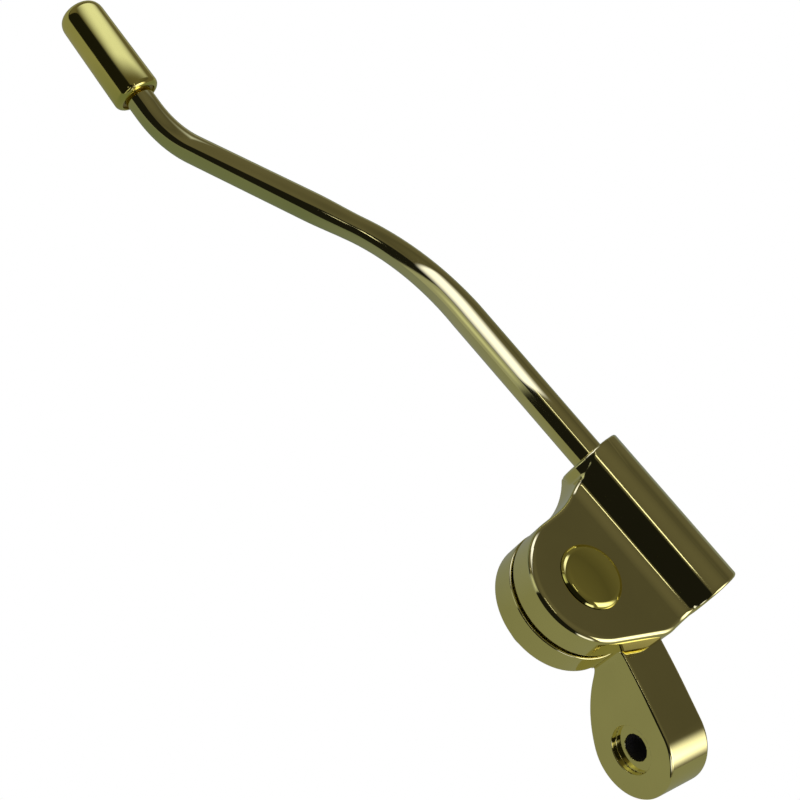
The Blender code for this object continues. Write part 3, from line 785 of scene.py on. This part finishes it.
def make_base(place):
    """The base disc and its lug, one casting, with painted shade, a dark second material, in the screw
    hole.
    """
    low = (-BASE_R - CAST_MARGIN, -BASE_R - CAST_MARGIN, -PIVOT.z - LUG_END_R - CAST_MARGIN)
    high = (-PIVOT.x + LUG_END_R + CAST_MARGIN, LUG_BACK + CAST_MARGIN, BASE_TOP + CAST_MARGIN)
    return casting("base_casting", base_distance, low, high, place, inner=bore_shade_faces)


def make_nut(swivel):
    """The lock nut."""
    reach = NUT_CORNER_R + EDGE_ROUND
    low = (-reach, -reach, NUT_TOP - NUT_HEX - NUT_COLLAR - EDGE_ROUND)
    high = (reach, reach, NUT_TOP + EDGE_ROUND)
    return casting("nut_hexagon", nut_distance, low, high, swivel, SMALL_STEP)


def make_set_screw(name, x, barrel):
    """A set screw at its place along the barrel."""
    reach = SCREW_R + EDGE_ROUND
    low = (-reach, SCREW_FOOT - EDGE_ROUND, -reach)
    high = (reach, SCREW_FOOT + SCREW_LONG + EDGE_ROUND, reach)
    place = barrel @ Matrix.Translation((x, 0, 0))
    return casting(name, screw_distance, low, high, place, SMALL_STEP / 2)


def make_plug(barrel):
    """The barrel's plug."""
    reach = PLUG_R + EDGE_ROUND
    low = (PLUG_END_X - PLUG_LONG - EDGE_ROUND, -reach, -reach)
    high = (PLUG_END_X + EDGE_ROUND, reach, reach)
    return casting("plug_slotted", plug_distance, low, high, barrel, SMALL_STEP)


def make_pieces():
    """Every piece of the scene, each with its body, the CAD node that it replaces and its slot."""
    base_place = Matrix.Scale(MM, 4) @ Matrix.Translation(PIVOT)
    swivel = base_place @ Matrix.Rotation(SWIVEL_REST, 4, "Z")
    barrel = swivel @ Matrix.Translation((0, BARREL_Y, BARREL_Z))
    arm = barrel @ Matrix.Rotation(ARM_TWIST_REST, 4, "X")
    tip = arm @ tip_place()
    made = [
        (make_holder(swivel), "holder", "arm_holder", "gold_casting"),
        (make_base(base_place), "base", "base_lever", "gold_casting"),
        (piece("bolt_domed", bolt_mesh(), swivel), "holder", "pivot_bolt", "gold_steel"),
        (piece("rod_bent", rod_mesh(), arm), "arm", "arm_rod", "gold_steel"),
        (piece("tip_cap", tip_mesh(), tip), "arm", "arm_tip", "gold_brass"),
        (piece("tip_bush_ring", tip_bush_mesh(), tip), "arm", "tip_bush", "plain_brass"),
        (make_nut(swivel), "holder", "lock_nut", "steel"),
    ]
    for name, x in zip(("upper", "lower"), SCREW_X):
        screw = make_set_screw(f"screw_socket_{name}", x, barrel)
        made.append((screw, "holder", f"set_screw_{name}", "steel"))
    made.append((make_plug(barrel), "holder", "barrel_plug", "gold_steel"))
    for name, (node, body, slot, *sizes) in RINGS.items():
        place = base_place if body == "base" else swivel
        made.append((piece(name, ring_mesh(*sizes), place), body, node, slot))
    return made


def node_tree(owner):
    """An empty node tree with its nodes and links."""
    owner.use_nodes = True
    owner.node_tree.nodes.clear()
    return owner.node_tree.nodes, owner.node_tree.links


def fill(links, socket, colour):
    """Puts a fixed colour or another node's colour into a socket."""
    if isinstance(colour, tuple):
        socket.default_value = (*colour, 1.0)
    else:
        links.new(colour, socket)


def faded(nodes, links, value, low, high):
    """A smooth rise from 0 to 1 as a value goes from low to high."""
    step = nodes.new("ShaderNodeMapRange")
    step.interpolation_type = "SMOOTHSTEP"
    step.inputs["From Min"].default_value = low
    step.inputs["From Max"].default_value = high
    links.new(value, step.inputs["Value"])
    return step.outputs["Result"]


def times(nodes, links, first, second):
    """The product of two values."""
    product = nodes.new("ShaderNodeMath")
    product.operation = "MULTIPLY"
    links.new(first, product.inputs[0])
    links.new(second, product.inputs[1])
    return product.outputs["Value"]


def mixed(nodes, links, share, first, second):
    """A colour between two, each of them a fixed colour or another node's colour."""
    mix = nodes.new("ShaderNodeMix")
    mix.data_type = "RGBA"
    links.new(share, mix.inputs["Factor"])
    for socket, colour in zip(mix.inputs[6:8], (first, second)):
        fill(links, socket, colour)
    return mix.outputs[2]


def graded(nodes, links, value, colours):
    """A colour that goes through a few fixed ones as a value rises."""
    lowest, highest = min(colours), max(colours)
    share = nodes.new("ShaderNodeMapRange")
    share.inputs["From Min"].default_value = lowest
    share.inputs["From Max"].default_value = highest
    links.new(value, share.inputs["Value"])
    ramp = nodes.new("ShaderNodeValToRGB")
    stops = ramp.color_ramp.elements
    while len(stops) < len(colours):
        stops.new(0.5)
    for stop, (place, colour) in zip(stops, colours.items()):
        stop.position = (place - lowest) / (highest - lowest)
        stop.color = (*colour, 1.0)
    links.new(share.outputs["Result"], ramp.inputs["Fac"])
    return ramp.outputs["Color"]


def stretched_noise(nodes, links, scale, detail):
    """A noise over the piece, drawn out by three scales along its axes."""
    place = nodes.new("ShaderNodeTexCoord")
    stretch = nodes.new("ShaderNodeMapping")
    stretch.inputs["Scale"].default_value = scale
    noise = nodes.new("ShaderNodeTexNoise")
    noise.inputs["Scale"].default_value = 1.0
    noise.inputs["Detail"].default_value = detail
    links.new(place.outputs["Object"], stretch.inputs["Vector"])
    links.new(stretch.outputs["Vector"], noise.inputs["Vector"])
    return noise.outputs["Fac"]


def uneven_gloss(nodes, links, cloud, marks, roughness):
    """A roughness that varies about its mean with the unevenness and the wiping marks."""
    gloss = nodes.new("ShaderNodeMapRange")
    gloss.inputs["From Max"].default_value = GLOSS_TOP
    gloss.inputs["To Min"].default_value = roughness * GLOSS_SPREAD[0]
    gloss.inputs["To Max"].default_value = roughness * GLOSS_SPREAD[1]
    links.new(times(nodes, links, cloud, marks), gloss.inputs["Value"])
    return gloss.outputs["Result"]


def finish(name, colour, metallic, roughness):
    """A finish with wiping marks in its gloss and surface and a slight unevenness in its colour."""
    made = bpy.data.materials.new(name)
    made.use_nodes = True
    nodes, links = made.node_tree.nodes, made.node_tree.links
    shader = nodes["Principled BSDF"]
    shader.inputs["Metallic"].default_value = metallic
    cloud = stretched_noise(nodes, links, CLOUD_SCALE, CLOUD_DETAIL)
    marks = stretched_noise(nodes, links, MARK_SCALE, MARK_DETAIL)
    shade = tuple(CLOUD_SHADE * c for c in colour)
    tint = graded(nodes, links, cloud, {CLOUD_RANGE[0]: shade, CLOUD_RANGE[1]: colour})
    links.new(tint, shader.inputs["Base Color"])
    links.new(uneven_gloss(nodes, links, cloud, marks, roughness), shader.inputs["Roughness"])
    bump = nodes.new("ShaderNodeBump")
    bump.inputs["Strength"].default_value = MARK_STRENGTH
    bump.inputs["Distance"].default_value = MARK_DEPTH * MM
    links.new(marks, bump.inputs["Height"])
    links.new(bump.outputs["Normal"], shader.inputs["Normal"])
    return made


def dress_pieces(made, finishes):
    """Gives each piece its finishes, picked by its slot, attaches it to its body and hides the CAD node
    that it replaces.
    """
    for obj, body, node, slot in made:
        for name in OWN_FINISHES.get(obj.name, (SLOT_FINISH[slot],)):
            obj.data.materials.append(finishes[name])
        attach(obj, body)
        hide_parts(node)


def dress_cad_nodes(finishes):
    """Gives each CAD node the finish of its slot."""
    for part in frame["record"]["subparts"]:
        node = frame["nodes"][part["node"]]
        node.data.materials.clear()
        node.data.materials.append(finishes[SLOT_FINISH[part["material_slot"]]])


def front_side(nodes, links):
    """One on a surface's front and zero on its back."""
    side = nodes.new("ShaderNodeNewGeometry")
    return faded(nodes, links, side.outputs["Backfacing"], 1.0, 0.0)


def white_to_camera(nodes, links, colour):
    """White where the camera looks straight at a surface, and the given colour in what mirrors it."""
    seen = nodes.new("ShaderNodeLightPath")
    return mixed(nodes, links, seen.outputs["Is Camera Ray"], colour, WHITE)


def glow_by_share(nodes, links, share, colour):
    """Ends a material with a glow of some colour where a share is 1, and nothing where it is 0."""
    clear = nodes.new("ShaderNodeBsdfTransparent")
    glow = nodes.new("ShaderNodeEmission")
    fill(links, glow.inputs["Color"], colour)
    mix = nodes.new("ShaderNodeMixShader")
    out = nodes.new("ShaderNodeOutputMaterial")
    links.new(share, mix.inputs["Fac"])
    links.new(clear.outputs["BSDF"], mix.inputs[1])
    links.new(glow.outputs["Emission"], mix.inputs[2])
    links.new(mix.outputs["Shader"], out.inputs["Surface"])


def card_mesh(corners):
    """A card between four corners, with U from first to second and V from first to fourth."""
    first, second, third, fourth = (Vector(corner) * MM for corner in corners)
    mesh = bmesh.new()
    layer = mesh.loops.layers.uv.new("UVMap")
    rows = []
    for i in range(CARD_STEPS + 1):
        start, end = first.lerp(fourth, i / CARD_STEPS), second.lerp(third, i / CARD_STEPS)
        rows.append([mesh.verts.new(start.lerp(end, j / CARD_STEPS)) for j in range(CARD_STEPS + 1)])
    for i in range(CARD_STEPS):
        for j in range(CARD_STEPS):
            places = ((i, j), (i, j + 1), (i + 1, j + 1), (i + 1, j))
            face = mesh.faces.new([rows[row][column] for row, column in places])
            for loop, (row, column) in zip(face.loops, places):
                loop[layer].uv = (column / CARD_STEPS, row / CARD_STEPS)
    return mesh


def make_card(name, corners, colour, soft):
    """A lit card that only the metal sees, from one side, fading out towards its edges."""
    paint = bpy.data.materials.new(name)
    nodes, links = node_tree(paint)
    place = nodes.new("ShaderNodeUVMap")
    split = nodes.new("ShaderNodeSeparateXYZ")
    links.new(place.outputs["UV"], split.inputs["Vector"])
    share = front_side(nodes, links)
    for axis, first, last in (("X", *soft[:2]), ("Y", *soft[2:])):
        share = times(nodes, links, share, faded(nodes, links, split.outputs[axis], 0.0, first))
        share = times(nodes, links, share, faded(nodes, links, split.outputs[axis], 1.0, 1.0 - last))
    glow_by_share(nodes, links, share, colour)
    made = linked(name, mesh_data(name, card_mesh(corners)))
    made.data.materials.append(paint)
    made.visible_camera = False
    made.visible_shadow = False


def make_floor(height):
    """A floor, white to the camera, which the metal sees as a glowing sheet of painted light with a
    painted shadow of the arm, and painted shade for the dark room before it.
    """
    paint = bpy.data.materials.new("Floor")
    nodes, links = node_tree(paint)
    place = nodes.new("ShaderNodeNewGeometry")
    split = nodes.new("ShaderNodeSeparateXYZ")
    links.new(place.outputs["Position"], split.inputs["Vector"])
    sheet = faded(nodes, links, split.outputs["Y"], SHEET_FRONT * MM, (SHEET_FRONT + SHEET_FADE) * MM)
    # Painted light along X, with the arm's painted shadow
    colour = graded(nodes, links, split.outputs["X"], {x * MM: tint for x, tint in PAINTED_FLOOR_LIGHT_AND_SHADOW.items()})
    # Painted shade: dark before the lit sheet's front edge
    colour = mixed(nodes, links, sheet, DARK, colour)
    glow_by_share(nodes, links, front_side(nodes, links), white_to_camera(nodes, links, colour))
    mesh = bmesh.new()
    bmesh.ops.create_grid(mesh, x_segments=1, y_segments=1, size=FLOOR_SIZE / 2 * MM)
    made = linked("Floor", mesh_data("Floor", mesh))
    made.data.materials.append(paint)
    made.location.z = height


def ceiling(nodes, links, place):
    """Colour of the dim ceiling by its height above the horizon."""
    split = nodes.new("ShaderNodeSeparateXYZ")
    links.new(place, split.inputs["Vector"])
    colours = {}
    for rise, level in CEILING.items():
        colours[math.sin(math.radians(rise))] = tuple(level * c for c in CEILING_TINT)
    return graded(nodes, links, split.outputs["Z"], colours)


def make_world():
    """White to the camera; to the metal a dim ceiling, and the dark room behind the camera."""
    world = bpy.data.worlds.new("Studio")
    bpy.context.scene.world = world
    nodes, links = node_tree(world)
    place = nodes.new("ShaderNodeTexCoord").outputs["Generated"]
    towards = nodes.new("ShaderNodeVectorMath")
    towards.operation = "DOT_PRODUCT"
    turn, rise = DARK_SIDE
    level = math.cos(rise)
    towards.inputs[1].default_value = (math.sin(turn) * level, -math.cos(turn) * level, math.sin(rise))
    links.new(place, towards.inputs[0])
    outer, inner = math.cos(DARK_REACH + DARK_FADE), math.cos(DARK_REACH)
    dark = faded(nodes, links, towards.outputs["Value"], outer, inner)
    colour = mixed(nodes, links, dark, ceiling(nodes, links, place), DARK)
    back = nodes.new("ShaderNodeBackground")
    links.new(white_to_camera(nodes, links, colour), back.inputs["Color"])
    out = nodes.new("ShaderNodeOutputWorld")
    links.new(back.outputs["Background"], out.inputs["Surface"])


def make_camera():
    """The photograph's camera."""
    camera = bpy.data.cameras.new("Camera")
    camera.lens = CAMERA_LENS
    camera.sensor_width = CAMERA_SENSOR
    camera.clip_start = CAMERA_NEAR * MM
    made = linked("Camera", camera)
    back = CAMERA_DOWN.cross(CAMERA_RIGHT)
    turn = Matrix((CAMERA_RIGHT, -CAMERA_DOWN, back)).transposed().to_4x4()
    made.matrix_world = Matrix.Translation(CAMERA_PLACE * MM) @ turn
    bpy.context.scene.camera = made


def make_stage(low):
    """The floor, the studio's surround, its lit cards and the camera."""
    bpy.context.scene.view_settings.view_transform = "Standard"
    make_floor(low - FLOOR_GAP * MM)
    make_world()
    for name, card in CARDS.items():
        make_card(name, *card)
    make_camera()


def main():
    """Builds the pieces, dresses them and the CAD nodes, and sets the studio."""
    finishes = {name: finish(name, *look) for name, look in FINISHES.items()}
    dress_pieces(make_pieces(), finishes)
    dress_cad_nodes(finishes)
    make_stage(cad_box[0].z)


main()
